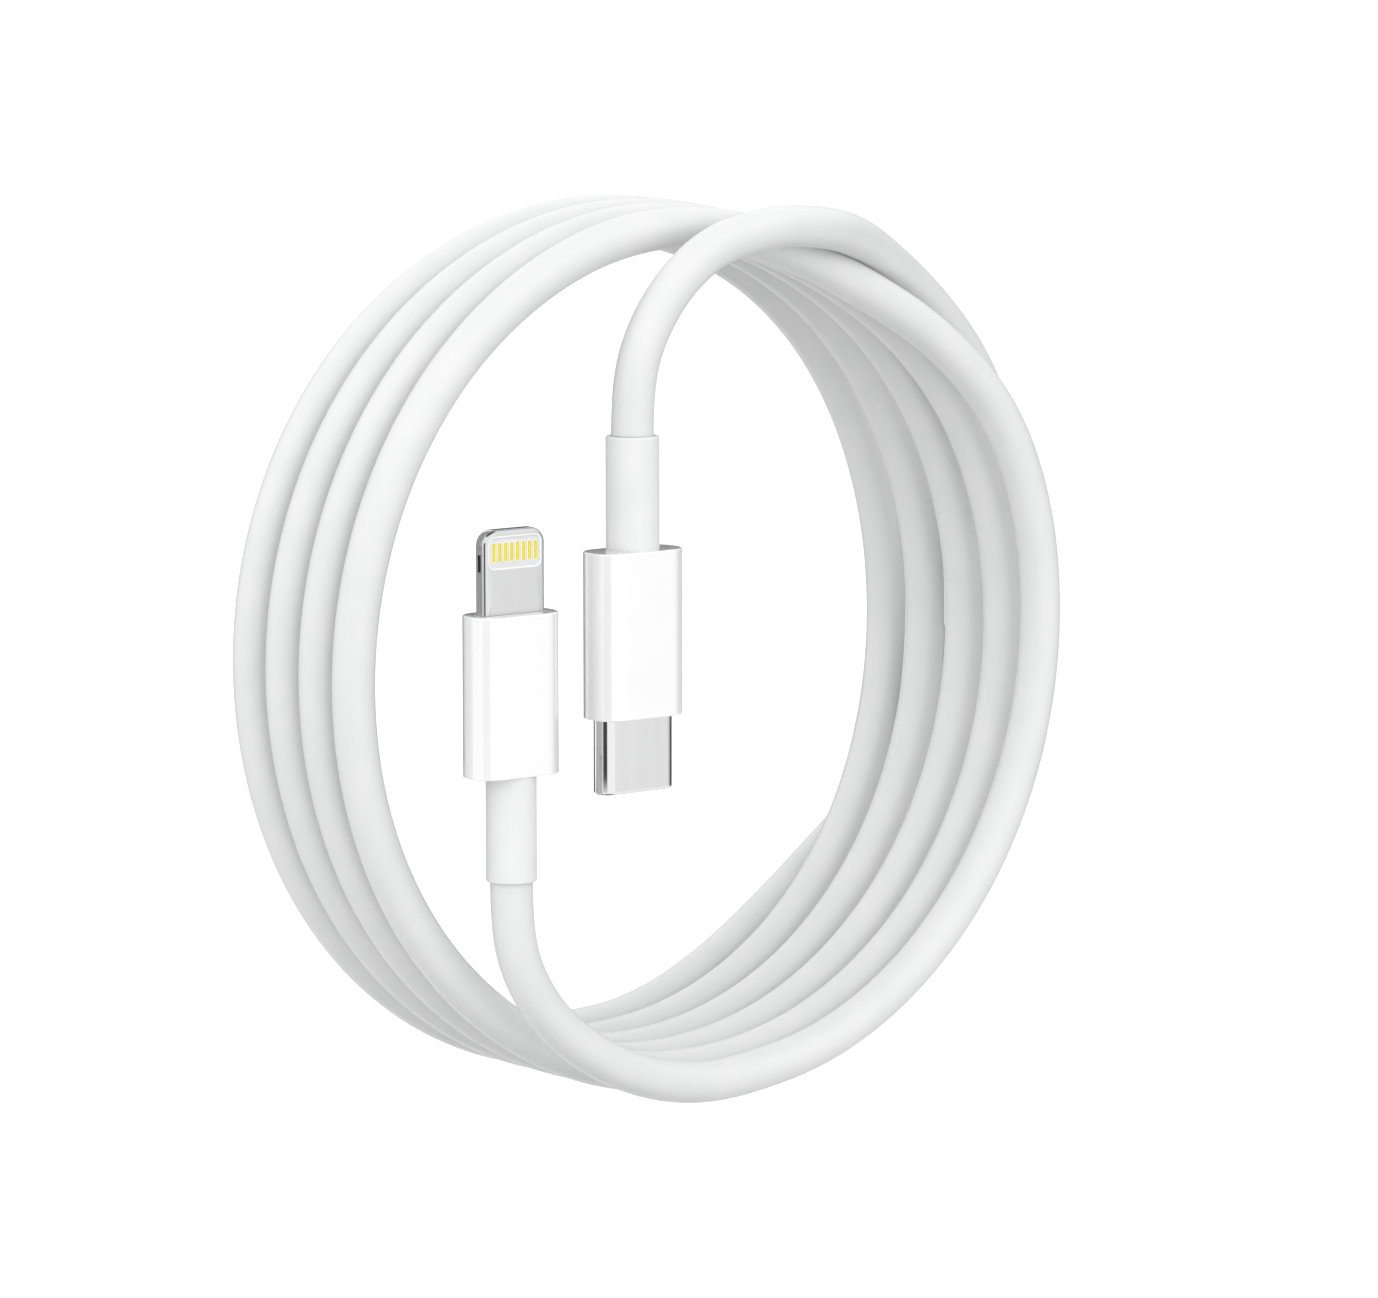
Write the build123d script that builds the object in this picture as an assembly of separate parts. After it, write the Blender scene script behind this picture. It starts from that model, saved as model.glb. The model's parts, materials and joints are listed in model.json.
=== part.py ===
from build123d import *
import math
import os

# A charging cable held as a standing coil: five turns wound about the Y axis, with a wide
# reversible plug hanging from the top of the coil and a narrow tab plug standing on a lead
# that leaves the bottom. Millimetres, +Z up. The origin is where a peg would carry the coil:
# the middle of the inside of the coil, at its top. -Y is the front, where both leads lie.

# ---- driving dimensions ----
CABLE_D = 3.8                 # jacket diameter
COIL_R = 39.0                 # radius of the turns, at the middle of the cable
COIL_PITCH = 5.05             # how far one turn carries the cable towards the back
TURNS = 5                     # whole turns in the coil
LEAD_Y = -3.9                 # depth of both plugs, measured from the first turn
COIL_MID_Y = 12.0             # middle of the coil's depth, measured from the first turn
FLEX_LENGTH = 2.8             # bending stretch of the cable beside each sleeve

BRAID_D = 3.0                 # shield braid under the jacket
CORE_D = 2.6                  # bundle of wires under the braid
WIRE_D = 0.6
FIT_GAP = 0.05                # clearance of a moulding round the cable or the contacts
END_ROUND = 0.35              # rounded end edges of the housings
SIDE_ROUND = 2.2              # corner radius of the housings' section
REAR_WALL = 1.0
FRONT_WALL = 1.2
CAN_THICK = 0.15

TYPE_C_X = -13.1
TYPE_C_REAR_Z = 11.0          # rear face of the housing, above the coil's centre
TYPE_C_BODY = (9.6, 4.9, 15.0)
TYPE_C_SLEEVE = (4.8, 10.2)   # diameter and length
TYPE_C_SHELL = (8.25, 2.4, 6.8)
TYPE_C_SHELL_WALL = 0.3

TAB_X = -26.7
TAB_REAR_Z = -8.0
TAB_BODY = (9.1, 4.8, 14.4)
TAB_SLEEVE = (4.5, 9.5)
TAB_BLADE = (6.7, 1.5, 7.5)
TAB_TIP_ROUND = 1.15
TAB_CONTACT_COUNT = 8

# The wide plug's lead runs from its sleeve over the top of the coil, then outside the turns
# from front to back, where it joins the last one. First x, depth and height about the coil's
# centre, then angle, depth and radius for the stretch that crosses the turns.
LEAD_C_RISE = [(-13.1, -3.9, 21.2), (-13.1, -3.9, 25.6), (-11.6, -3.9, 30.2), (-8.3, -3.9, 34.6),
               (-3.7, -3.9, 37.8), (1.6, -3.9, 38.9)]
LEAD_C_CROSSING = [(80, -3.8, 39.4), (70, -3.1, 39.9), (60, -1.2, 40.2), (50, 1.6, 40.9),
                   (41, 4.2, 42.4), (32, 5.8, 43.6), (23, 7.0, 43.9), (14, 9.2, 43.8),
                   (4, 12.8, 43.6), (-6, 16.8, 43.4), (-16, 20.6, 43.2), (-27, 23.8, 43.0),
                   (-38, 25.4, 41.2), (-50, 25.5, 39.8), (-62, 24.8, 39.2)]
# The tab plug's lead runs from its sleeve to the first turn: x, depth and height.
LEAD_TAB = [(-26.7, -3.9, -17.5), (-26.7, -3.9, -21.9), (-25.2, -3.7, -26.5), (-21.9, -3.5, -31.0),
            (-17.1, -3.2, -34.7), (-11.3, -2.7, -37.4), (-5.3, -2.1, -38.9), (0.9, -1.4, -39.2)]

COIL_TOP = COIL_R - CABLE_D / 2       # height of the inside of the coil above its centre


def place(x, depth, height):
    """A point about the coil's centre and first turn, in the part's own frame."""
    return (x, depth - COIL_MID_Y, height - COIL_TOP)


def polar(angle, depth, radius):
    turn = math.radians(angle)
    return place(radius * math.cos(turn), depth, radius * math.sin(turn))


os.makedirs("parts", exist_ok=True)


def save(name, solids):
    """Write one node, as a single solid or as a group of separate ones."""
    solids = solids if isinstance(solids, list) else [solids]
    shape = solids[0] if len(solids) == 1 else Compound(children=solids)
    export_step(shape, f"parts/{name}.step")


# ---- plain shapes used by both plugs, with z running from the rear face to the tip ----
def block(width, thick, start, end, corner):
    sketch = Plane.XY.offset(start) * RectangleRounded(width, thick, corner)
    return extrude(sketch, end - start)


def rod(diameter, start, end, x=0.0, y=0.0):
    return Pos(x, y, (start + end) / 2) * Cylinder(diameter / 2, end - start)


def tube(outer, inner, start, end):
    return rod(outer, start, end) - rod(inner, start, end)


def housing(body, cavity_width, opening):
    """A moulded cover: rounded on its sides and ends, hollow, with a hole at each end."""
    width, thick, length = body
    cover = block(width, thick, 0, length, SIDE_ROUND)
    ends = cover.edges().group_by(Axis.Z)[0] + cover.edges().group_by(Axis.Z)[-1]
    cover = fillet(ends, END_ROUND)
    cover -= block(cavity_width, thick - 1.5, REAR_WALL, length - FRONT_WALL, 1.1)
    cover -= rod(CABLE_D + 2 * FIT_GAP, -1, REAR_WALL + 0.5)
    wide, high, corner = opening
    slot = block(wide + 2 * FIT_GAP, high + 2 * FIT_GAP, length - FRONT_WALL - 0.5, length + 1, corner)
    return cover - slot


def sleeve(size):
    diameter, length = size
    body = rod(diameter, -length, 0)
    body = fillet(body.edges().group_by(Axis.Z)[0], 0.2)
    return body - rod(CABLE_D + 2 * FIT_GAP, -length - 1, 1)


def cable_end(length):
    """The end of the cable inside a plug: jacket, braid, crimped ring and four wires."""
    jacket = tube(CABLE_D, BRAID_D, -length, REAR_WALL - 0.1)
    braid = tube(BRAID_D, CORE_D, -length, 2.4)
    ring = tube(3.3, BRAID_D, REAR_WALL + 0.1, 2.4)
    wires = [rod(WIRE_D, -length, 7.2, x, y) for x in (-0.45, 0.45) for y in (-0.7, 0.7)]
    return {"jacket_end": jacket, "braid_end": braid, "crimp_ring": ring, "wires": wires}


def shield_can(width, thick, start, end):
    """Two pressed halves that close round the circuit board."""
    outer = block(width, thick, start, end, 1.1)
    inner = block(width - 2 * CAN_THICK, thick - 2 * CAN_THICK, start - 1, end + 1, 1.1 - CAN_THICK)
    shell = outer - inner
    half = Box(width * 2, thick, (end - start) * 2, align=(Align.CENTER, Align.MAX, Align.CENTER))
    middle = Pos(0, 0, (start + end) / 2)
    return shell & (middle * half), shell - (middle * half)


def chip(x, y, z, size):
    return Pos(x, y, z) * Box(*size)


# ---- the wide plug ----
def type_c_plug():
    width, thick, length = TYPE_C_BODY
    shell_w, shell_t, exposed = TYPE_C_SHELL
    tip = length + exposed
    shell_rear = length - 3.8
    inner_w = shell_w - 2 * TYPE_C_SHELL_WALL
    inner_t = shell_t - 2 * TYPE_C_SHELL_WALL
    round_out = shell_t / 2 - 0.001
    round_in = inner_t / 2 - 0.001
    mouth_w, mouth_t, mouth_depth = 6.8, 0.9, 5.4
    floor = tip - mouth_depth
    board_t = 0.8

    parts = {"housing": housing(TYPE_C_BODY, 8.5, (shell_w, shell_t, round_out)),
             "sleeve": sleeve(TYPE_C_SLEEVE)}
    parts.update(cable_end(TYPE_C_SLEEVE[1]))

    outer = block(shell_w, shell_t, shell_rear, tip, round_out)
    outer = fillet(outer.edges().group_by(Axis.Z)[-1], 0.12)
    parts["shell"] = outer - block(inner_w, inner_t, shell_rear - 1, tip + 1, round_in)

    body = block(inner_w, inner_t, shell_rear + 0.2, tip - 0.25, round_in)
    parts["contact_carrier"] = body - block(mouth_w, mouth_t, floor, tip + 1, 0.15)

    pitch, count = 0.5, 12
    strips = {"upper_contacts": [], "lower_contacts": []}
    for i in range(count):
        x = (i - (count - 1) / 2) * pitch
        for name, side in (("upper_contacts", -1), ("lower_contacts", 1)):
            y = side * (mouth_t / 2 - 0.06)
            strips[name].append(Pos(x, y, floor + 2.3) * Box(0.26, 0.12, 4.4))
    parts.update(strips)
    latch_x = mouth_w / 2 - 0.1
    parts["side_latches"] = [Pos(side * latch_x, 0, floor + 2.4) * Box(0.2, 0.6, 4.6) for side in (-1, 1)]

    parts["circuit_board"] = Pos(0, 0, (6.0 + shell_rear + 0.2) / 2) * Box(7.0, board_t, shell_rear - 5.8)
    parts["marker_chip"] = chip(0.0, -board_t / 2 - 0.3, 9.2, (2.4, 0.6, 2.0))
    parts["capacitors"] = [chip(x, board_t / 2 + 0.2, 9.4, (0.5, 0.4, 1.0)) for x in (-2.2, -0.8, 0.8, 2.2)]
    front, back = shield_can(7.9, 3.2, 3.2, shell_rear - 0.1)
    parts["can_front"] = front
    parts["can_back"] = back
    return parts


# ---- the tab plug ----
def tab_plug():
    width, thick, length = TAB_BODY
    blade_w, blade_t, exposed = TAB_BLADE
    tip = length + exposed
    base = length - 3.0
    recess = 0.3
    plate_t = 0.2
    window_w, window_h = 5.8, 3.3
    window_mid = tip - 0.65 - window_h / 2
    board_t = 0.6

    parts = {"housing": housing(TAB_BODY, 8.0, (blade_w, blade_t, 0.3)),
             "sleeve": sleeve(TAB_SLEEVE)}
    parts.update(cable_end(TAB_SLEEVE[1]))

    outline = Rectangle(blade_w, tip - base)
    outline = fillet(outline.vertices().group_by(Axis.Y)[-1], TAB_TIP_ROUND)
    blade = extrude(outline, blade_t / 2, both=True)
    blade = chamfer(blade.faces().sort_by(Axis.Z)[-1].edges() + blade.faces().sort_by(Axis.Z)[0].edges(), 0.22)
    blade = Pos(0, 0, (tip + base) / 2) * (Rot(X=90) * blade)
    blade += block(7.4, 2.4, base, length - FRONT_WALL, 0.3)
    for side in (-1, 1):
        window = extrude(RectangleRounded(window_w, window_h, 0.7), recess)
        turned = Rot(X=90) * window
        start = -blade_t / 2 + recess if side < 0 else blade_t / 2
        blade -= Pos(0, start, window_mid) * turned
        notch = Box(0.7, 0.95, 1.5)
        blade -= Pos(side * blade_w / 2, 0, tip - 3.15) * notch
    parts["blade_frame"] = blade

    pitch, bar_w, bar_h = 0.68, 0.42, 1.75
    for name, side in (("front", -1), ("back", 1)):
        floor = side * (blade_t / 2 - recess)
        plate = Rot(X=90) * extrude(RectangleRounded(window_w, window_h, 0.7), plate_t)
        parts[f"contact_plate_{name}"] = Pos(0, floor + (0 if side < 0 else plate_t), window_mid) * plate
        top = side * (blade_t / 2 - (recess - plate_t) / 2)
        bars = []
        for i in range(TAB_CONTACT_COUNT):
            x = (i - (TAB_CONTACT_COUNT - 1) / 2) * pitch
            bars.append(Pos(x, top, window_mid - 0.05) * Box(bar_w, recess - plate_t, bar_h))
        parts[f"contacts_{name}"] = bars

    parts["circuit_board"] = Pos(0, 0, (6.0 + base) / 2) * Box(6.0, board_t, base - 6.0)
    parts["control_chips"] = [chip(0.0, -board_t / 2 - 0.3, 9.2, (2.2, 0.6, 2.2)),
                              chip(0.0, board_t / 2 + 0.3, 9.2, (2.6, 0.6, 1.8))]
    front, back = shield_can(7.4, 3.2, 3.2, base - 0.1)
    parts["can_front"] = front
    parts["can_back"] = back
    return parts


def type_c_place():
    """The wide plug hangs with its tip down."""
    return Pos(*place(TYPE_C_X, LEAD_Y, TYPE_C_REAR_Z)) * Rot(Y=180)


def tab_place():
    """The tab plug stands with its tip up."""
    return Pos(*place(TAB_X, LEAD_Y, TAB_REAR_Z))


for prefix, parts, where in (("type_c", type_c_plug(), type_c_place()), ("tab", tab_plug(), tab_place())):
    for name, solids in parts.items():
        if isinstance(solids, list):
            save(f"{prefix}_{name}", [where * s for s in solids])
        else:
            save(f"{prefix}_{name}", where * solids)


# ---- the cable ----
def cord_path(points):
    """Straight runs joined by the largest arcs that fit, and the arcs' radii."""
    vectors = [Vector(*p) for p in points]
    radii = []
    for before, at, after in zip(vectors, vectors[1:], vectors[2:]):
        turn = math.radians((at - before).get_angle(after - at))
        shorter = min((at - before).length, (after - at).length)
        radii.append(0.45 * shorter / math.tan(turn / 2))
    return FilletPolyline(*vectors, radius=radii), radii


def cord(points):
    path, radii = cord_path(points)
    start = Plane(origin=path @ 0, z_dir=path % 0)
    solid = sweep(start * Circle(CABLE_D / 2), path=path)
    ratio = solid.volume / (math.pi * CABLE_D ** 2 / 4 * path.length)
    print(f"lead: length {path.length:.1f}, volume ratio {ratio:.4f}, "
          f"radii {[round(r, 1) for r in radii]}")
    return solid


def save_lead(name, points, flex_side):
    """Save a lead in two nodes: the stretch that bends beside its sleeve, and the rest."""
    lead = cord(points)
    x, y, z = points[0]
    reach = 4 * CABLE_D
    cut = Pos(x, y, z + flex_side * FLEX_LENGTH / 2) * Box(reach, reach, FLEX_LENGTH)
    save(f"cable_flex_{name}", lead & cut)
    save(f"cable_lead_{name}", lead - cut)


def coil():
    """The wound turns as one ring; its faces slope because each turn steps to the back."""
    outer = COIL_R + CABLE_D / 2
    depth = 4 * COIL_PITCH * TURNS
    ring = Rot(X=90) * (Cylinder(outer, depth) - Cylinder(COIL_R - CABLE_D / 2, depth + 2))
    half = CABLE_D / 2
    reach = outer + 2
    right = (-half, COIL_PITCH * (TURNS - 0.15) + half)
    left = (COIL_PITCH / 2 - half, COIL_PITCH * (TURNS - 1) + half - 1)
    slab = Polyline((reach, right[0]), (reach, right[1]), (-reach, left[1]), (-reach, left[0]), close=True)
    slab = extrude(make_face(slab), outer * 1.2, both=True)
    return Pos(*place(0, 0, 0)) * (ring & slab)


save_lead("type_c", [place(*p) for p in LEAD_C_RISE] + [polar(*p) for p in LEAD_C_CROSSING], 1)
save_lead("tab", [place(*p) for p in LEAD_TAB], -1)
save("cable_coil", coil())
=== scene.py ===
import json
import math

import bmesh
import bpy
from mathutils import Matrix, Vector


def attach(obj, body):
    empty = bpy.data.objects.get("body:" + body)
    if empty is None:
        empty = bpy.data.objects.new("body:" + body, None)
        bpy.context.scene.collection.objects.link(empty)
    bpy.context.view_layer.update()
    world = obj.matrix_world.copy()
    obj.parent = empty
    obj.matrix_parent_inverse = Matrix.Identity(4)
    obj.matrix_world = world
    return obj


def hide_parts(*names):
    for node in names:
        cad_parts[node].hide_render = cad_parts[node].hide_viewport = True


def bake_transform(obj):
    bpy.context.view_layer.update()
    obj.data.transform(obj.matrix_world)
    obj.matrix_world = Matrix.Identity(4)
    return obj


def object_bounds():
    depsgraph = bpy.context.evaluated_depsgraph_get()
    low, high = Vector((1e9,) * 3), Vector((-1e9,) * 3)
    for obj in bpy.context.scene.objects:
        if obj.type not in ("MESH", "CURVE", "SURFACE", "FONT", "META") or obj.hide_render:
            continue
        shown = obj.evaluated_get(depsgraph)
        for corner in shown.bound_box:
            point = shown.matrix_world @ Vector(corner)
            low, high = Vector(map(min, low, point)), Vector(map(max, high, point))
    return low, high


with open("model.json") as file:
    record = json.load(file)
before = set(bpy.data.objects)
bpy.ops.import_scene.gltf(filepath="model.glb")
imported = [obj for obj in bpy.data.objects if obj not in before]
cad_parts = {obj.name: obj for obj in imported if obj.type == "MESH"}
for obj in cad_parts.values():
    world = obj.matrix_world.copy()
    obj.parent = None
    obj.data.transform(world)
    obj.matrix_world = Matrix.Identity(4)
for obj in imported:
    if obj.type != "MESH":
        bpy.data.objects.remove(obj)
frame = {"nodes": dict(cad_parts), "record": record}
cad_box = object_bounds()
nodes = frame["nodes"]

# A charging cable wound into a standing coil, in metres. A wide reversible plug hangs from the top
# and a narrow tab plug stands on a lead from the bottom. Places are given about the centre of the
# first turn as x, depth towards the back and height, and place() moves them into the part's frame,
# whose origin is the middle of the inside of the coil, at its top.

# ---- the cable ----
CABLE_D = 0.0038              # jacket diameter
COIL_R = 0.039                # radius of the turns, at the middle of the cable
COIL_PITCH = 0.00505          # how far one turn carries the cable towards the back
COIL_MID_Y = 0.012            # middle of the coil's depth, measured from the first turn
COIL_TOP = COIL_R - CABLE_D / 2       # height of the inside of the coil above its centre
COIL_START = -88.7            # angle where the tab's lead becomes the first turn, in degrees
COIL_END = 1738.0             # angle where the last turn becomes the wide plug's lead
TURN_POINTS = 24              # route points in one turn of the coil
RING_SIDES = 36               # sides of the cable's tube
TAB_LEAD_LENGTH = 0.0375      # the tab lead's own piece, from its sleeve to the coil
TYPE_C_LEAD_LENGTH = 0.036    # the wide plug's own piece of lead, beyond which it rests on the turns

# The wide plug's lead rises from its sleeve over the top of the coil: x, depth and height. Then it
# crosses outside the turns on its way to the last one: angle, depth and radius.
LEAD_C_RISE = [(-0.0131, -0.0039, 0.0212), (-0.0131, -0.0039, 0.0256), (-0.0116, -0.0039, 0.0302),
               (-0.0083, -0.0039, 0.0346), (-0.0037, -0.0039, 0.0378), (0.0016, -0.0039, 0.0389)]
LEAD_C_CROSSING = [(83, -0.0037, 0.0394), (75, -0.0026, 0.0400), (67, -0.0002, 0.0407),
                   (59, 0.0022, 0.0410), (50, 0.0045, 0.0418), (41, 0.0060, 0.0427),
                   (32, 0.0070, 0.0435), (23, 0.0083, 0.0438), (14, 0.0102, 0.0438),
                   (4, 0.0132, 0.0436), (-6, 0.0168, 0.0434), (-16, 0.0206, 0.0432),
                   (-27, 0.0238, 0.0430), (-38, 0.0254, 0.0412), (-50, 0.0255, 0.0398),
                   (-62, 0.0248, 0.0392)]
# The tab plug's lead runs from its sleeve to the first turn: x, depth and height.
LEAD_TAB = [(-0.0267, -0.0039, -0.0175), (-0.0267, -0.0039, -0.0219), (-0.0252, -0.0037, -0.0265),
            (-0.0219, -0.0035, -0.0310), (-0.0171, -0.0032, -0.0347), (-0.0113, -0.0027, -0.0374),
            (-0.0053, -0.0021, -0.0389), (0.0009, -0.0014, -0.0392)]

# Where the coil leaves a plain helix, by angles in degrees that grow from the right over the top.
# The turns give way under the crossing lead, spread to the back at the right, and stand out at the
# upper left. Each span is the middle and the reach of a smooth swell.
GIVE_SPAN = (64, 40)
FAN_SPAN = (8, 85)
BULGE_SPAN = (120, 70)
TURN_GIVES = (0.0024, 0.0014, 0.0006, 0.0003, 0.0002)    # inward, for each turn
TURN_FANS = (0.0, 0.0005, 0.0011, 0.0020, 0.0029)        # towards the back, for each turn
TURN_BULGE = 0.0009                                      # outward, the same for every turn
BULGE_DRIFT = 5                                          # degrees later with each turn
# Swells of the first and the last turn only, along the angle of the whole coil: amount, middle, reach.
ONCE_RADIUS = [(-0.0005, -28, 55), (0.0005, 30, 34), (-0.0032, 1612, 128)]
ONCE_DEPTH = [(-0.0001, 32, 40), (-0.0024, 1630, 120), (-0.0005, 1768, 60)]

# ---- the plugs ----
# Bodies are width, thickness and length, and sleeves are diameter and length. The shell and the
# blade are width, thickness and the length that shows.
LEAD_Y = -0.0039              # depth of both plugs
TYPE_C_X = -0.0131            # middle of the plug
TYPE_C_REAR_Z = 0.011         # rear face of the housing, above the coil's centre
TYPE_C_BODY = (0.0096, 0.0049, 0.015)
TYPE_C_SLEEVE = (0.0048, 0.0102)
TYPE_C_SHELL = (0.00825, 0.0024, 0.0068)
TYPE_C_CAVITY = 0.0085        # width of the hollow in the housing
SHELL_WALL = 0.0003
SHELL_TAIL = 0.0038           # how far the shell reaches into its housing
SHELL_ROUND = 0.00029         # outer round of the rolled mouth
SHELL_INNER_ROUND = 0.00001
SHELL_STRAIGHT = 0.003        # plain stretch behind the mouth

TAB_X = -0.0267
TAB_REAR_Z = -0.008
TAB_BODY = (0.0091, 0.0048, 0.0144)
TAB_SLEEVE = (0.0045, 0.0095)
TAB_BLADE = (0.0067, 0.0015, 0.0075)
TAB_CAVITY = 0.008            # width of the hollow in the housing
TAB_MOUTH_CORNER = 0.0003     # corners of the housing's opening round the blade
BLADE_TAIL = 0.003            # how far the blade reaches into its housing
BLADE_EDGE = 0.0004           # round of the blade's edges
BLADE_REAR_CORNER = 0.00005
TAB_TIP_ROUND = 0.0014

TAB_WINDOW = (0.0058, 0.003)  # width and height
TAB_WINDOW_TOP = 0.00053      # from the tip of the blade
WINDOW_CORNER = 0.0007
WINDOW_LIP = 0.00003          # round of the window's edge
WINDOW_RECESS = 0.0003        # depth of the window's floor
PLATE_RISE = 0.0002           # thickness of the moulded plate on that floor
PLATE_GAP = 0.00008           # play between the plate and the window
PLATE_CORNER = 0.00066
# Section of the window's white rim: how far inward over the plate, and how far below the steel.
RIM_PROFILE = [(0, 0.00028), (0, 0), (0.00002, -0.00002), (0.00007, -0.00003),
               (0.00012, -0.00002), (0.00017, 0.00002), (0.0002, 0.00007), (0.00022, 0.00028)]

TAB_CONTACT_COUNT = 8
TAB_CONTACT_PITCH = 0.00065
CONTACT_LIFT = 0.00005        # the contacts' middle above the window's
# The contacts, and the lighter bluish pad round each one that paints a highlight about it, are width,
# height, rise and corner radius.
CONTACT_PAINTED_HIGHLIGHT = (0.00046, 0.00192, 0.00004, 0.00023)
CONTACT_BAR = (0.0003, 0.00175, 0.0001, 0.00015)

NOTCH_BELOW_TIP = 0.0029      # middle of the detent notches in the blade's sides
# The cutter, and the dark pad behind each notch that paints the shade in it, are front depth, width,
# height, rise and corner.
NOTCH_CUTTER = (-0.00022, 0.0014, 0.0015, 0.00044, 0.0001)
NOTCH_PAINTED_SHADE = (-0.00025, 0.0004, 0.00152, 0.0005, 0.00008)
NOTCH_CUTTER_EDGE = 0.00001
NOTCH_PAINTED_SHADE_EDGE = 0.00003
NOTCH_PAINTED_SHADE_INSET = 0.0004   # from the blade's side to the middle of the dark pad of painted shade

# ---- mouldings ----
FIT_GAP = 0.00005             # clearance of a moulding round what passes through it
END_ROUND = 0.00014           # rounded end edges of the covers
SIDE_ROUND = 0.0022           # corner radius of the covers' section
REAR_WALL = 0.001
FRONT_WALL = 0.0012
CAVITY_WALLS = 0.0015         # the covers' front and back walls together
CAVITY_CORNER = 0.0011
MOUTH_BEVEL = 0.00012         # bevel of the opening at a cover's front
BORE_BEVEL = 0.0002           # depth of the bevel at a cover's rear bore
BORE_FLARE = 0.0003           # how much wider that bevel makes the bore
COVER_PLAIN_RINGS = (0.3, 0.7)        # where a cover has plain rings, as shares of its length
SLEEVE_BEVEL = 0.0001
SLEEVE_ROUND = 0.00018
ROUND_STEPS = 5               # rings in a rounded edge
CORNER_POINTS = 14            # points in one corner of a section
LEAST_RADIUS = 1e-5           # a section's corners are never sharper than this
FULLEST_CORNER = 0.497        # nor rounder than this share of its short side
PAD_EDGE_RISE = 0.6           # a pad's edge round is at most this share of its rise
PAD_EDGE_WIDTH = 0.2          # and this share of its width
SHARP_ANGLE = math.radians(35)        # edges that turn more than this stay sharp


def place(x, depth, height):
    return Vector((x, depth - COIL_MID_Y, height - COIL_TOP))


def polar(angle, depth, radius):
    turn = math.radians(angle)
    return place(radius * math.cos(turn), depth, radius * math.sin(turn))


TYPE_C_PLACE = (Matrix.Translation(place(TYPE_C_X, LEAD_Y, TYPE_C_REAR_Z))
                @ Matrix.Rotation(math.pi, 4, "Y"))
TAB_PLACE = Matrix.Translation(place(TAB_X, LEAD_Y, TAB_REAR_Z))


def swell(angle, middle, reach):
    """1 at the middle and 0 beyond reach, with a smooth slope between."""
    away = min(abs(angle - middle) / reach, 1.0)
    return 0.5 + 0.5 * math.cos(math.pi * away)


def swells(angle, rows):
    return sum(amount * swell(angle, middle, reach) for amount, middle, reach in rows)


def coil_point(angle):
    """A route point of the winding, at its angle along the whole coil."""
    radius = COIL_R / math.cos(math.pi / TURN_POINTS) + swells(angle, ONCE_RADIUS)
    depth = COIL_PITCH * angle / 360 + swells(angle, ONCE_DEPTH)
    for turn, (give, fan) in enumerate(zip(TURN_GIVES, TURN_FANS)):
        in_turn = angle - 360 * turn
        radius -= give * swell(in_turn, *GIVE_SPAN)
        depth += fan * swell(in_turn, *FAN_SPAN)
        radius += TURN_BULGE * swell(in_turn - BULGE_DRIFT * turn, *BULGE_SPAN)
    return polar(angle, depth, radius)


def cable_route():
    """The whole cable from the tab plug's sleeve to the wide plug's sleeve."""
    count = round((COIL_END - COIL_START) / 360 * TURN_POINTS)
    step = (COIL_END - COIL_START) / count
    coil = [coil_point(COIL_START + step * i) for i in range(1, count)]
    rise = [place(*p) for p in LEAD_C_RISE]
    crossing = [polar(*p) for p in LEAD_C_CROSSING]
    return [place(*p) for p in LEAD_TAB] + coil + crossing[::-1] + rise[::-1]


# ---- meshes ----
def link(obj):
    bpy.context.scene.collection.objects.link(obj)
    return obj


def finish_mesh(name, mesh):
    """Turn a bmesh into an object, smooth but for its sharp edges."""
    bmesh.ops.recalc_face_normals(mesh, faces=mesh.faces)
    for face in mesh.faces:
        face.smooth = True
    for edge in mesh.edges:
        if len(edge.link_faces) == 2 and edge.calc_face_angle() > SHARP_ANGLE:
            edge.smooth = False
    data = bpy.data.meshes.new(name)
    mesh.to_mesh(data)
    mesh.free()
    return link(bpy.data.objects.new(name, data))


def skin(mesh, rings, joined=False):
    """Faces between rings, which either close on themselves or end in flat caps."""
    made = [[mesh.verts.new(p) for p in ring] for ring in rings]
    pairs = list(zip(made, made[1:]))
    if joined:
        pairs.append((made[-1], made[0]))
    for low, high in pairs:
        count = len(low)
        for k in range(count):
            n = (k + 1) % count
            mesh.faces.new((low[k], low[n], high[n], high[k]))
    if not joined:
        mesh.faces.new(made[0][::-1])
        mesh.faces.new(made[-1])


def skin_piece(name, rings, where, joined=True):
    mesh = bmesh.new()
    skin(mesh, rings, joined)
    bmesh.ops.transform(mesh, matrix=where, verts=mesh.verts)
    return finish_mesh(name, mesh)


def route_line(points):
    """Points read from the smooth line through a route."""
    curve = bpy.data.curves.new("route", "CURVE")
    curve.dimensions = "3D"
    curve.resolution_u = 8
    spline = curve.splines.new("NURBS")
    spline.points.add(len(points) - 1)
    for point, at in zip(spline.points, points):
        point.co = (*at, 1.0)
    spline.order_u = 3
    spline.use_endpoint_u = True
    carrier = link(bpy.data.objects.new("route", curve))
    bpy.context.view_layer.update()
    mesh = bpy.data.meshes.new_from_object(carrier)
    line = [v.co.copy() for v in mesh.vertices]
    bpy.data.objects.remove(carrier)
    bpy.data.curves.remove(curve)
    bpy.data.meshes.remove(mesh)
    return line


def carried_frames(line):
    """A pair of directions across the line at each of its points, carried along without twist."""
    tangents = []
    for i in range(len(line)):
        tangents.append((line[min(i + 1, len(line) - 1)] - line[max(i - 1, 0)]).normalized())
    side = tangents[0].orthogonal().normalized()
    frames = []
    for i, tangent in enumerate(tangents):
        if i:
            side = tangents[i - 1].rotation_difference(tangent) @ side
        side = (side - tangent * side.dot(tangent)).normalized()
        frames.append((side, tangent.cross(side)))
    return frames


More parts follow.
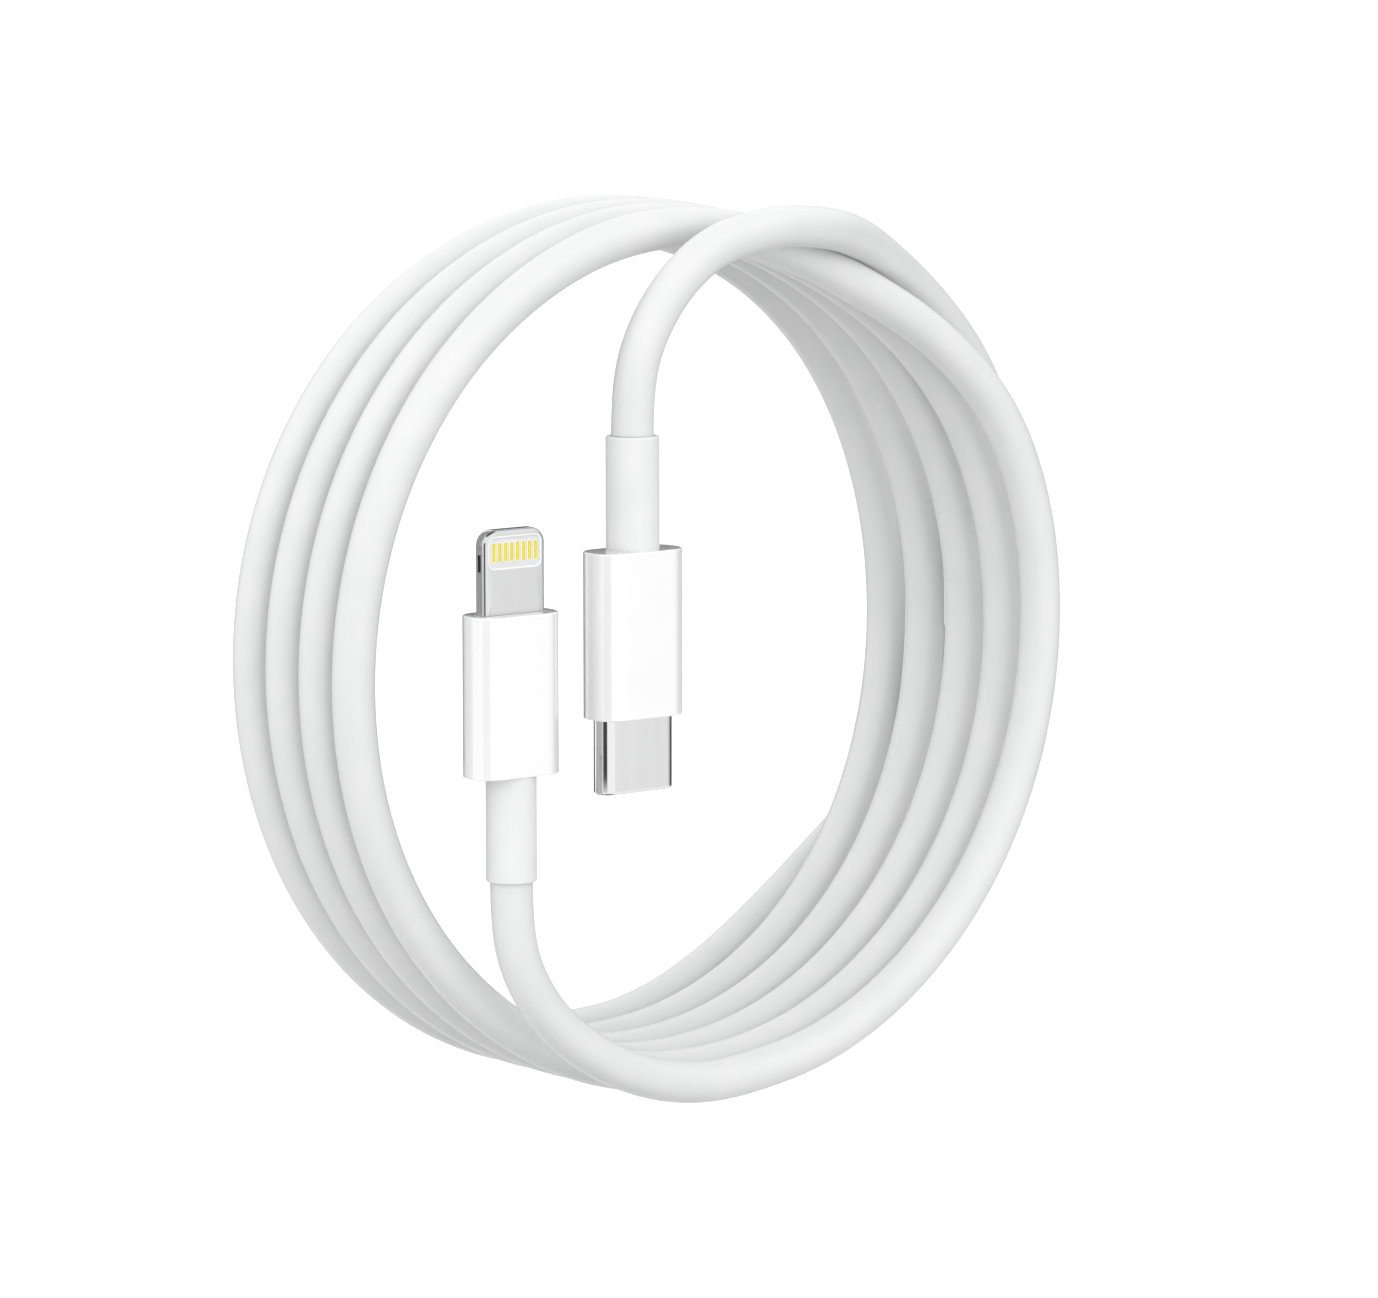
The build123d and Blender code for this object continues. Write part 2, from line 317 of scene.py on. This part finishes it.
def tube_mesh(name, line, frames, radius):
    rings = []
    for at, (side, up) in zip(line, frames):
        ring = []
        for k in range(RING_SIDES):
            turn = 2 * math.pi * k / RING_SIDES
            ring.append(at + radius * (math.cos(turn) * side + math.sin(turn) * up))
        rings.append(ring)
    mesh = bmesh.new()
    skin(mesh, rings)
    return finish_mesh(name, mesh)


# ---- sections and rings ----
def section(width, height, corner, corner_top=None):
    """A rounded rectangle about the origin, with the same number of points for any size."""
    points = []
    for sign_x, sign_y, start in ((1, 1, 0), (-1, 1, 90), (-1, -1, 180), (1, -1, 270)):
        radius = corner_top if sign_y > 0 and corner_top is not None else corner
        radius = max(min(radius, FULLEST_CORNER * min(width, height)), LEAST_RADIUS)
        mid_x = sign_x * (width / 2 - radius)
        mid_y = sign_y * (height / 2 - radius)
        for i in range(CORNER_POINTS):
            turn = math.radians(start + 90 * i / (CORNER_POINTS - 1))
            points.append((mid_x + radius * math.cos(turn), mid_y + radius * math.sin(turn)))
    return points


def ring_at(z, width, thick, corner):
    return [Vector((x, y, z)) for x, y in section(width, thick, corner)]


def round_bore(z, diameter):
    return ring_at(z, diameter, diameter, diameter / 2)


def upright(y, width, low, high, corner, corner_top):
    """A section standing in the plane of the tab: its points at depth y, from low to high."""
    middle = (low + high) / 2
    return [Vector((x, y, middle + z)) for x, z in section(width, high - low, corner, corner_top)]


def quarter(radius):
    """The inset and the rise at each step of a rounded edge, from the end face to the side."""
    steps = []
    for i in range(ROUND_STEPS + 1):
        turn = math.pi / 2 * i / ROUND_STEPS
        steps.append((radius * (1 - math.sin(turn)), radius * (1 - math.cos(turn))))
    return steps


def cover_rings(body, cavity_width, opening):
    """A moulded cover, from the bore at the rear, round the outside and back through its cavity."""
    width, thick, length = body
    bore = 2 * FIT_GAP + CABLE_D
    open_w, open_t, open_corner = opening
    open_w += 2 * FIT_GAP
    open_t += 2 * FIT_GAP
    rings = [round_bore(REAR_WALL, bore), round_bore(BORE_BEVEL, bore),
             round_bore(0.0, bore + BORE_FLARE)]
    for inset, rise in quarter(END_ROUND):
        rings.append(ring_at(rise, width - 2 * inset, thick - 2 * inset, SIDE_ROUND - inset))
    for share in COVER_PLAIN_RINGS:
        rings.append(ring_at(length * share, width, thick, SIDE_ROUND))
    for inset, rise in reversed(quarter(END_ROUND)):
        rings.append(ring_at(length - rise, width - 2 * inset, thick - 2 * inset, SIDE_ROUND - inset))
    rings.append(ring_at(length, open_w + 2 * MOUTH_BEVEL, open_t + 2 * MOUTH_BEVEL,
                         open_corner + MOUTH_BEVEL))
    rings.append(ring_at(length - MOUTH_BEVEL, open_w, open_t, open_corner))
    rings.append(ring_at(length - FRONT_WALL, open_w, open_t, open_corner))
    for z in (length - FRONT_WALL, REAR_WALL):
        rings.append(ring_at(z, cavity_width, thick - CAVITY_WALLS, CAVITY_CORNER))
    return rings


def sleeve_rings(size):
    """A bend relief: a plain sleeve with a softly rounded mouth."""
    diameter, length = size
    bore = 2 * FIT_GAP + CABLE_D
    rings = [round_bore(0, bore), round_bore(SLEEVE_BEVEL - length, bore),
             round_bore(-length, bore + 2 * SLEEVE_BEVEL)]
    for inset, rise in quarter(SLEEVE_ROUND):
        rings.append(round_bore(rise - length, diameter - 2 * inset))
    rings += [round_bore(-length / 2, diameter), round_bore(0, diameter)]
    return rings


def shell_rings():
    """The wide plug's drawn shell, with a rolled mouth."""
    width, thick, exposed = TYPE_C_SHELL
    rear = TYPE_C_BODY[2] - SHELL_TAIL
    tip = TYPE_C_BODY[2] + exposed
    inner_w = width - 2 * SHELL_WALL
    inner_t = thick - 2 * SHELL_WALL
    rings = [ring_at(rear, width, thick, thick / 2),
             ring_at(tip - SHELL_STRAIGHT, width, thick, thick / 2)]
    for inset, rise in reversed(quarter(SHELL_ROUND)):
        rings.append(ring_at(tip - rise, width - 2 * inset, thick - 2 * inset, thick / 2 - inset))
    for inset, rise in quarter(SHELL_INNER_ROUND):
        rings.append(ring_at(tip - rise, inner_w + 2 * inset, inner_t + 2 * inset, inner_t / 2 + inset))
    rings.append(ring_at(rear, inner_w, inner_t, inner_t / 2))
    return rings


def blade_rings():
    """The tab from the floor of its front window, round its edge, to the floor of its back one."""
    width, thick, exposed = TAB_BLADE
    low = TAB_BODY[2] - BLADE_TAIL
    tip = TAB_BODY[2] + exposed
    window_w, window_h = TAB_WINDOW
    top = tip - TAB_WINDOW_TOP
    half = [upright(-thick / 2 + WINDOW_RECESS, window_w, top - window_h, top, WINDOW_CORNER,
                    WINDOW_CORNER)]
    for inset, rise in reversed(quarter(WINDOW_LIP)):
        grow = WINDOW_LIP - inset
        corner = WINDOW_CORNER + grow
        half.append(upright(-thick / 2 + rise, window_w + 2 * grow, top - window_h - grow, top + grow,
                            corner, corner))
    for inset, rise in quarter(BLADE_EDGE):
        half.append(upright(-thick / 2 + rise, width - 2 * inset, low, tip - inset,
                            BLADE_REAR_CORNER, TAB_TIP_ROUND - inset))
    back = [[Vector((p.x, -p.y, p.z)) for p in ring] for ring in half[::-1]]
    return half + back


def rim_rings(side):
    """The moulded white rim round one window of the tab, just proud of the steel."""
    window_w, window_h = TAB_WINDOW
    top = TAB_BODY[2] + TAB_BLADE[2] - TAB_WINDOW_TOP
    bottom = top - window_h
    rings = []
    for inward, depth in RIM_PROFILE:
        corner = WINDOW_CORNER - inward
        rings.append(upright(side * (TAB_BLADE[1] / 2 - depth), window_w - 2 * inward,
                             bottom + inward, top - inward, corner, corner))
    return rings


def pad_group(name, pads, where, edge=None):
    """Low pads in one piece, each with its place, width, height, rise and corner radius. Their edges
    are rounded by edge, or by a share of the rise and the width."""
    mesh = bmesh.new()
    for x, y, z, width, height, rise, corner in pads:
        edge_round = edge or min(abs(rise) * PAD_EDGE_RISE, width * PAD_EDGE_WIDTH)
        sign = 1 if rise > 0 else -1
        rings = [upright(0, width, -height / 2, height / 2, corner, corner)]
        for inset, drop in reversed(quarter(edge_round)):
            rings.append(upright(rise - sign * drop, width - 2 * inset, -height / 2 + inset,
                                 height / 2 - inset, corner - inset, corner - inset))
        skin(mesh, [[p + Vector((x, y, z)) for p in ring] for ring in rings])
    bmesh.ops.transform(mesh, matrix=where, verts=mesh.verts)
    return finish_mesh(name, mesh)


def cut(obj, cutter):
    """Take cutter's shape out of obj."""
    modifier = obj.modifiers.new("cut", "BOOLEAN")
    modifier.object = cutter
    modifier.operation = "DIFFERENCE"
    modifier.solver = "EXACT"
    bpy.context.view_layer.update()
    graph = bpy.context.evaluated_depsgraph_get()
    data = bpy.data.meshes.new_from_object(obj.evaluated_get(graph))
    mesh = bmesh.new()
    mesh.from_mesh(data)
    name = obj.name
    bpy.data.objects.remove(obj)
    bpy.data.objects.remove(cutter)
    return finish_mesh(name, mesh)


# ---- camera ----
SHOT_YAW = math.radians(38.5)         # the camera stands to the left of the front
SHOT_RISE = math.radians(7.9)
SHOT_DISTANCE = 0.5627
SHOT_LENS = 161.2                     # millimetres, on a sensor 36 wide
SHOT_SHIFT = (-0.0228, 0.0038)


def build_camera():
    data = bpy.data.cameras.new("camera")
    data.lens = SHOT_LENS
    data.sensor_width = 36.0
    data.shift_x, data.shift_y = SHOT_SHIFT
    data.clip_start = 0.01
    camera = link(bpy.data.objects.new("camera", data))
    away = Vector((-math.sin(SHOT_YAW) * math.cos(SHOT_RISE),
                   -math.cos(SHOT_YAW) * math.cos(SHOT_RISE), math.sin(SHOT_RISE)))
    camera.location = place(0, 0, 0) + away * SHOT_DISTANCE
    camera.rotation_euler = (-away).to_track_quat("-Z", "Y").to_euler()
    bpy.context.scene.camera = camera


# ---- materials ----
# Noise in cells per metre.
MOULDED_MOTTLE = 260
MOULDED_GLOSS = 700
METAL_MOTTLE = 900


class Nodes:
    """Short calls for building a material's node tree."""

    def __init__(self, name):
        self.material = bpy.data.materials.new(name)
        self.material.use_nodes = True
        self.tree = self.material.node_tree
        self.shader = self.tree.nodes["Principled BSDF"]

    def join(self, start, end):
        self.tree.links.new(start, end)

    def noise(self, scale, detail=2.0, stretch=(1, 1, 1)):
        """Noise in the part's own coordinates, in cells per metre."""
        coords = self.tree.nodes.new("ShaderNodeTexCoord")
        mapping = self.tree.nodes.new("ShaderNodeMapping")
        mapping.inputs["Scale"].default_value = stretch
        self.join(coords.outputs["Object"], mapping.inputs["Vector"])
        noise = self.tree.nodes.new("ShaderNodeTexNoise")
        noise.inputs["Scale"].default_value = scale
        noise.inputs["Detail"].default_value = detail
        self.join(mapping.outputs["Vector"], noise.inputs["Vector"])
        return noise.outputs["Fac"]

    def spread(self, value, low, high):
        """Bring the middle of a noise's values, where most of them lie, to a range."""
        node = self.tree.nodes.new("ShaderNodeMapRange")
        node.inputs["From Min"].default_value = 0.3
        node.inputs["From Max"].default_value = 0.7
        node.inputs["To Min"].default_value = low
        node.inputs["To Max"].default_value = high
        self.join(value, node.inputs["Value"])
        return node.outputs["Result"]

    def tint(self, value, low, high):
        """Blend between two colours by a noise value."""
        node = self.tree.nodes.new("ShaderNodeMix")
        node.data_type = "RGBA"
        node.inputs["A"].default_value = (*low, 1)
        node.inputs["B"].default_value = (*high, 1)
        self.join(self.spread(value, 0.0, 1.0), node.inputs["Factor"])
        self.join(node.outputs["Result"], self.shader.inputs["Base Color"])

    def gloss(self, value, rough):
        """Uneven roughness between two values."""
        self.join(self.spread(value, *rough), self.shader.inputs["Roughness"])

    def bump(self, value, height):
        node = self.tree.nodes.new("ShaderNodeBump")
        node.inputs["Strength"].default_value = 1.0
        node.inputs["Distance"].default_value = height
        self.join(value, node.inputs["Height"])
        self.join(node.outputs["Normal"], self.shader.inputs["Normal"])


def moulded(name, low, high, rough, grain=9000, height=4e-6, coat=0.0, coat_ior=1.5):
    """A moulded plastic or rubber: faint mottling, a fine grain and uneven gloss."""
    n = Nodes(name)
    n.tint(n.noise(MOULDED_MOTTLE, 3.0), low, high)
    n.gloss(n.noise(MOULDED_GLOSS), rough)
    n.bump(n.noise(grain), height)
    n.shader.inputs["Coat Weight"].default_value = coat
    n.shader.inputs["Coat Roughness"].default_value = 0.05
    n.shader.inputs["Coat IOR"].default_value = coat_ior
    return n.material


def metal(name, low, high, rough, brush=(1, 1, 1), grain=5000, height=1.5e-6):
    """A plated or brushed metal, with its grain drawn out along one axis."""
    n = Nodes(name)
    n.tint(n.noise(METAL_MOTTLE, 3.0, brush), low, high)
    n.gloss(n.noise(grain / 3, 2.0, brush), rough)
    n.bump(n.noise(grain, 3.0, brush), height)
    n.shader.inputs["Metallic"].default_value = 1.0
    return n.material


# Each look is a darker and a lighter colour and a range of roughness, then what else differs.
# There is one for each slot of the record, and two more for the tab's windows: the rims, and the
# painted highlight round the contacts.
MOULDED_LOOKS = {
    "cable_jacket": ((0.645, 0.65, 0.65), (0.67, 0.67, 0.67), (0.36, 0.46), {}),
    "sleeve_white": ((0.68, 0.685, 0.685), (0.71, 0.71, 0.71), (0.42, 0.52), {}),
    "housing_white": ((0.78, 0.78, 0.78), (0.79, 0.79, 0.79), (0.28, 0.32),
                      {"grain": 2500, "height": 5e-8, "coat": 1.0, "coat_ior": 1.9}),
    "carrier_plastic": ((0.015, 0.015, 0.017), (0.03, 0.03, 0.032), (0.4, 0.5), {}),
    "plate_white": ((0.63, 0.63, 0.64), (0.68, 0.68, 0.69), (0.25, 0.35), {}),
    "wire_insulation": ((0.55, 0.06, 0.05), (0.65, 0.10, 0.08), (0.4, 0.5), {}),
    "board_green": ((0.01, 0.12, 0.05), (0.03, 0.25, 0.10), (0.25, 0.4),
                    {"grain": 1500, "height": 1e-5}),
    "chip_black": ((0.012, 0.012, 0.013), (0.03, 0.03, 0.03), (0.5, 0.6), {}),
    "window_rim": ((0.74, 0.745, 0.75), (0.76, 0.765, 0.77), (0.3, 0.36), {"height": 2e-7}),
    # a lighter bluish white round the gold contacts: painted highlight
    "contact_painted_highlight": ((0.76, 0.79, 0.90), (0.80, 0.83, 0.93), (0.3, 0.4), {}),
}
ALONG = (1, 1, 0.08)          # a grain drawn out along the plug
METAL_LOOKS = {
    "shell_steel": ((0.705, 0.705, 0.71), (0.72, 0.72, 0.724), (0.08, 0.12),
                    {"brush": ALONG, "height": 3e-7}),
    "blade_steel": ((0.63, 0.63, 0.635), (0.65, 0.65, 0.655), (0.12, 0.17),
                    {"brush": ALONG, "height": 3e-7}),
    "tinned_steel": ((0.55, 0.55, 0.56), (0.66, 0.66, 0.66), (0.3, 0.45), {}),
    "braid_copper": ((0.62, 0.30, 0.16), (0.75, 0.42, 0.26), (0.3, 0.45),
                     {"brush": (1, 1, 0.4), "grain": 3000, "height": 3e-5}),
    "contact_gold": ((0.88, 0.71, 0.005), (0.93, 0.77, 0.01), (0.28, 0.36), {"height": 3e-7}),
}


def build_materials():
    made = {}
    for build, looks in ((moulded, MOULDED_LOOKS), (metal, METAL_LOOKS)):
        for name, (low, high, rough, more) in looks.items():
            made[name] = build(name, low, high, rough, **more)
    return made


# ---- the part ----
def settle(piece, body, slot, materials, *replaced, look=None):
    """Give a piece the look of its slot, or another look, put it on its body, and hide the CAD nodes
    that it stands for.
    """
    piece.data.materials.clear()
    piece.data.materials.append(materials[look or slot])
    flats = piece.modifiers.new("flats stay flat", "WEIGHTED_NORMAL")
    flats.weight = 100
    flats.keep_sharp = True
    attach(piece, body)
    if replaced:
        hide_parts(*replaced)
    return piece


def dress_nodes(materials):
    """The CAD nodes that stay get the material of their own slot."""
    for part in frame["record"]["subparts"]:
        for material_slot in nodes[part["node"]].material_slots:
            material_slot.material = materials[part["material_slot"]]


def build_type_c(materials):
    width, thick, _ = TYPE_C_SHELL
    opening = (width, thick, thick / 2)
    cover = skin_piece("type_c_cover", cover_rings(TYPE_C_BODY, TYPE_C_CAVITY, opening), TYPE_C_PLACE)
    settle(cover, "type_c_end", "housing_white", materials, "type_c_housing")
    relief = skin_piece("type_c_bend_relief", sleeve_rings(TYPE_C_SLEEVE), TYPE_C_PLACE)
    settle(relief, "type_c_end", "sleeve_white", materials, "type_c_sleeve")
    shell = skin_piece("type_c_drawn_shell", shell_rings(), TYPE_C_PLACE)
    settle(shell, "type_c_end", "shell_steel", materials, "type_c_shell")
    return [cover, relief, shell]


def notch_pads(half_width, shape):
    """A pad at each side of the tab, at the height of its notches."""
    y, width, height, rise, corner = shape
    z = TAB_BODY[2] + TAB_BLADE[2] - NOTCH_BELOW_TIP
    return [(side * half_width, y, z, width, height, rise, corner) for side in (-1, 1)]


def build_blade(materials):
    """The steel tab with a detent notch in each side, and a dark pad behind each notch that paints the
    shade in it.
    """
    half_width = TAB_BLADE[0] / 2
    blade = skin_piece("tab_blade", blade_rings(), TAB_PLACE, joined=False)
    cutter = pad_group("notch_cutter", notch_pads(half_width, NOTCH_CUTTER), TAB_PLACE,
                       NOTCH_CUTTER_EDGE)
    blade = cut(blade, cutter)
    settle(blade, "tab_end", "blade_steel", materials, "tab_blade_frame")
    # dark pads of the carrier's plastic in the notches: painted shade, not a part of the plug
    painted_shade = pad_group("tab_notch_painted_shade", notch_pads(half_width - NOTCH_PAINTED_SHADE_INSET, NOTCH_PAINTED_SHADE),
                        TAB_PLACE, NOTCH_PAINTED_SHADE_EDGE)
    settle(painted_shade, "tab_end", "carrier_plastic", materials)
    return [blade, painted_shade]


def contact_row(face, side, middle, shape):
    """A pad for each contact of one side, on the plate's face."""
    width, height, rise, corner = shape
    pads = []
    for i in range(TAB_CONTACT_COUNT):
        x = (i - (TAB_CONTACT_COUNT - 1) / 2) * TAB_CONTACT_PITCH
        pads.append((x, face, middle + CONTACT_LIFT, width, height, side * rise, corner))
    return pads


def build_window(materials, name, side):
    """One window of the tab: the plate, the rim round it, and the contacts, each on a lighter bluish
    pad that paints a highlight round it.
    """
    window_w, window_h = TAB_WINDOW
    middle = TAB_BODY[2] + TAB_BLADE[2] - TAB_WINDOW_TOP - window_h / 2
    floor = side * (TAB_BLADE[1] / 2 - WINDOW_RECESS)
    face = floor + side * PLATE_RISE
    slab = (0, floor, middle, window_w - PLATE_GAP, window_h - PLATE_GAP, side * PLATE_RISE,
            PLATE_CORNER)
    plate = pad_group(f"tab_plate_{name}", [slab], TAB_PLACE)
    settle(plate, "tab_end", "plate_white", materials, f"tab_contact_plate_{name}")
    rim = skin_piece(f"tab_window_rim_{name}", rim_rings(side), TAB_PLACE)
    settle(rim, "tab_end", "plate_white", materials, look="window_rim")
    # a lighter bluish pad under each gold bar, wider than the bar: a painted highlight round the
    # contact
    painted_highlights = pad_group(f"tab_contact_painted_highlights_{name}", contact_row(face, side, middle, CONTACT_PAINTED_HIGHLIGHT),
                      TAB_PLACE)
    settle(painted_highlights, "tab_end", "plate_white", materials, look="contact_painted_highlight")
    bars = pad_group(f"tab_gold_bars_{name}", contact_row(face, side, middle, CONTACT_BAR), TAB_PLACE)
    settle(bars, "tab_end", "contact_gold", materials, f"tab_contacts_{name}")
    return [plate, rim, painted_highlights, bars]


def build_tab(materials):
    opening = (TAB_BLADE[0], TAB_BLADE[1], TAB_MOUTH_CORNER)
    cover = skin_piece("tab_cover", cover_rings(TAB_BODY, TAB_CAVITY, opening), TAB_PLACE)
    settle(cover, "tab_end", "housing_white", materials, "tab_housing")
    relief = skin_piece("tab_bend_relief", sleeve_rings(TAB_SLEEVE), TAB_PLACE)
    settle(relief, "tab_end", "sleeve_white", materials, "tab_sleeve")
    made = [cover, relief] + build_blade(materials)
    for name, side in (("front", -1), ("back", 1)):
        made += build_window(materials, name, side)
    return made


def build_cable(materials):
    """The cable in three pieces: the coil, on its own body, and the stretches beside the two plugs."""
    line = route_line(cable_route())
    frames = carried_frames(line)
    lengths = [0.0]
    for a, b in zip(line, line[1:]):
        lengths.append(lengths[-1] + (b - a).length)
    last = len(line) - 1
    tab_join = min(range(len(line)), key=lambda i: abs(lengths[i] - TAB_LEAD_LENGTH))
    c_join = min(range(len(line)), key=lambda i: abs(lengths[last] - lengths[i] - TYPE_C_LEAD_LENGTH))

    def stretch(name, start, end):
        piece = tube_mesh(name, line[start:end + 1], frames[start:end + 1], CABLE_D / 2)
        piece.data.materials.append(materials["cable_jacket"])
        return piece, line[start:end + 1]

    tab, tab_line = stretch("cable_lead_tab_jacket", 0, tab_join)
    coil, coil_line = stretch("cable_coil_jacket", tab_join, c_join)
    wide, wide_line = stretch("cable_lead_type_c_jacket", c_join, last)

    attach(coil, "coil")
    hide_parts("cable_coil", "cable_lead_type_c")

    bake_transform(tab)
    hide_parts("cable_lead_tab", "cable_flex_tab")

    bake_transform(wide)
    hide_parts("cable_flex_type_c")


# ---- floor and light ----
FLOOR_HALF = 4.0              # half the floor's width
FLOOR_DROP = 0.06             # from the bottom of the coil


def build_floor():
    """A plain pale floor under the part, seen by the camera but without effect on the light."""
    mesh = bmesh.new()
    bmesh.ops.create_grid(mesh, x_segments=8, y_segments=8, size=FLOOR_HALF)
    floor = finish_mesh("floor", mesh)
    floor.location.z = cad_box[0][2] - FLOOR_DROP
    n = Nodes("floor_paint")
    n.tint(n.noise(3.0), (0.90, 0.90, 0.90), (0.92, 0.92, 0.92))
    n.shader.inputs["Roughness"].default_value = 0.8
    floor.data.materials.append(n.material)
    floor.visible_diffuse = False
    floor.visible_glossy = False
    floor.visible_shadow = False


# What a polished surface sees all round: azimuth from the front, growing towards the camera's side,
# and brightness.
STUDIO_ROUND = [(-180, 0.05), (-78, 0.05), (-66, 0.55), (-52, 0.92), (-38, 1.0), (-35, 1.24),
                (34, 1.22), (38, 0.07), (68, 0.07), (73, 0.80), (108, 0.86), (113, 1.32),
                (164, 1.32), (171, 0.05), (180, 0.05)]
# What it sees above and below: a bright shelf, then a dark ceiling or floor, by the sine of the
# angle from the horizon.
SHELF_FROM = (0.24, 0.34)
SHELF_TO = (0.80, 0.88)
SHELF_LIGHT = 1.2
CEILING_LIGHT = 0.06
# The soft light on all else: from below to above by the same sine, and more from the camera's side.
SOFT_RISE = (-0.6, 0.5)
SOFT_LIGHT = (0.52, 1.30)
SOFT_FRONT = 0.56


def build_light():
    """Studio light from the world alone, which the camera itself sees as plain white."""
    world = bpy.data.worlds.new("studio")
    bpy.context.scene.world = world
    world.use_nodes = True
    world.cycles.sampling_method = "NONE"
    tree = world.node_tree
    background = tree.nodes["Background"]
    background.inputs["Color"].default_value = (1, 1, 1, 1)

    def feed(socket, source):
        """Set a socket to a number, or link it to another socket."""
        if isinstance(source, float):
            socket.default_value = source
        else:
            tree.links.new(source, socket)

    def calc(operation, *sources):
        node = tree.nodes.new("ShaderNodeMath")
        node.operation = operation
        for socket, source in zip(node.inputs, sources):
            feed(socket, source)
        return node.outputs["Value"]

    def mapped(source, ends, values=(0.0, 1.0)):
        """Bring source from one range to another, and hold it there."""
        node = tree.nodes.new("ShaderNodeMapRange")
        for key, value in zip(("From Min", "From Max", "To Min", "To Max"), (*ends, *values)):
            node.inputs[key].default_value = value
        feed(node.inputs["Value"], source)
        return node.outputs["Result"]

    def pick(factor, first, second):
        node = tree.nodes.new("ShaderNodeMix")
        for key, source in (("Factor", factor), ("A", first), ("B", second)):
            feed(node.inputs[key], source)
        return node.outputs["Result"]

    coords = tree.nodes.new("ShaderNodeTexCoord")
    split = tree.nodes.new("ShaderNodeSeparateXYZ")
    feed(split.inputs["Vector"], coords.outputs["Generated"])
    x, y, z = split.outputs
    toward = calc("ADD", calc("MULTIPLY", x, -math.sin(SHOT_YAW)),
                  calc("MULTIPLY", y, -math.cos(SHOT_YAW)))
    front = calc("MULTIPLY", calc("MAXIMUM", toward, 0.0), SOFT_FRONT)
    soft = calc("ADD", mapped(z, SOFT_RISE, SOFT_LIGHT), front)

    azimuth = calc("ARCTAN2", calc("MULTIPLY", x, -1.0), calc("MULTIPLY", y, -1.0))
    ramp = tree.nodes.new("ShaderNodeValToRGB")
    stops = ramp.color_ramp.elements
    while len(stops) < len(STUDIO_ROUND):
        stops.new(0.5)
    for stop, (angle, value) in zip(stops, STUDIO_ROUND):
        stop.position = (angle + 180) / 360
        stop.color = (value, value, value, 1)
    feed(ramp.inputs["Fac"], mapped(azimuth, (-math.pi, math.pi)))
    height = calc("ABSOLUTE", z)
    shelf = pick(mapped(height, SHELF_TO), SHELF_LIGHT, CEILING_LIGHT)
    polished = pick(mapped(height, SHELF_FROM), ramp.outputs["Color"], shelf)

    rays = tree.nodes.new("ShaderNodeLightPath")
    lit = pick(rays.outputs["Is Glossy Ray"], soft, polished)
    feed(background.inputs["Strength"], pick(rays.outputs["Is Camera Ray"], lit, 1.0))
    bpy.context.scene.view_settings.view_transform = "Standard"


materials = build_materials()
build_camera()
dress_nodes(materials)
type_c_pieces = build_type_c(materials)
tab_pieces = build_tab(materials)
build_cable(materials)
build_floor()
build_light()
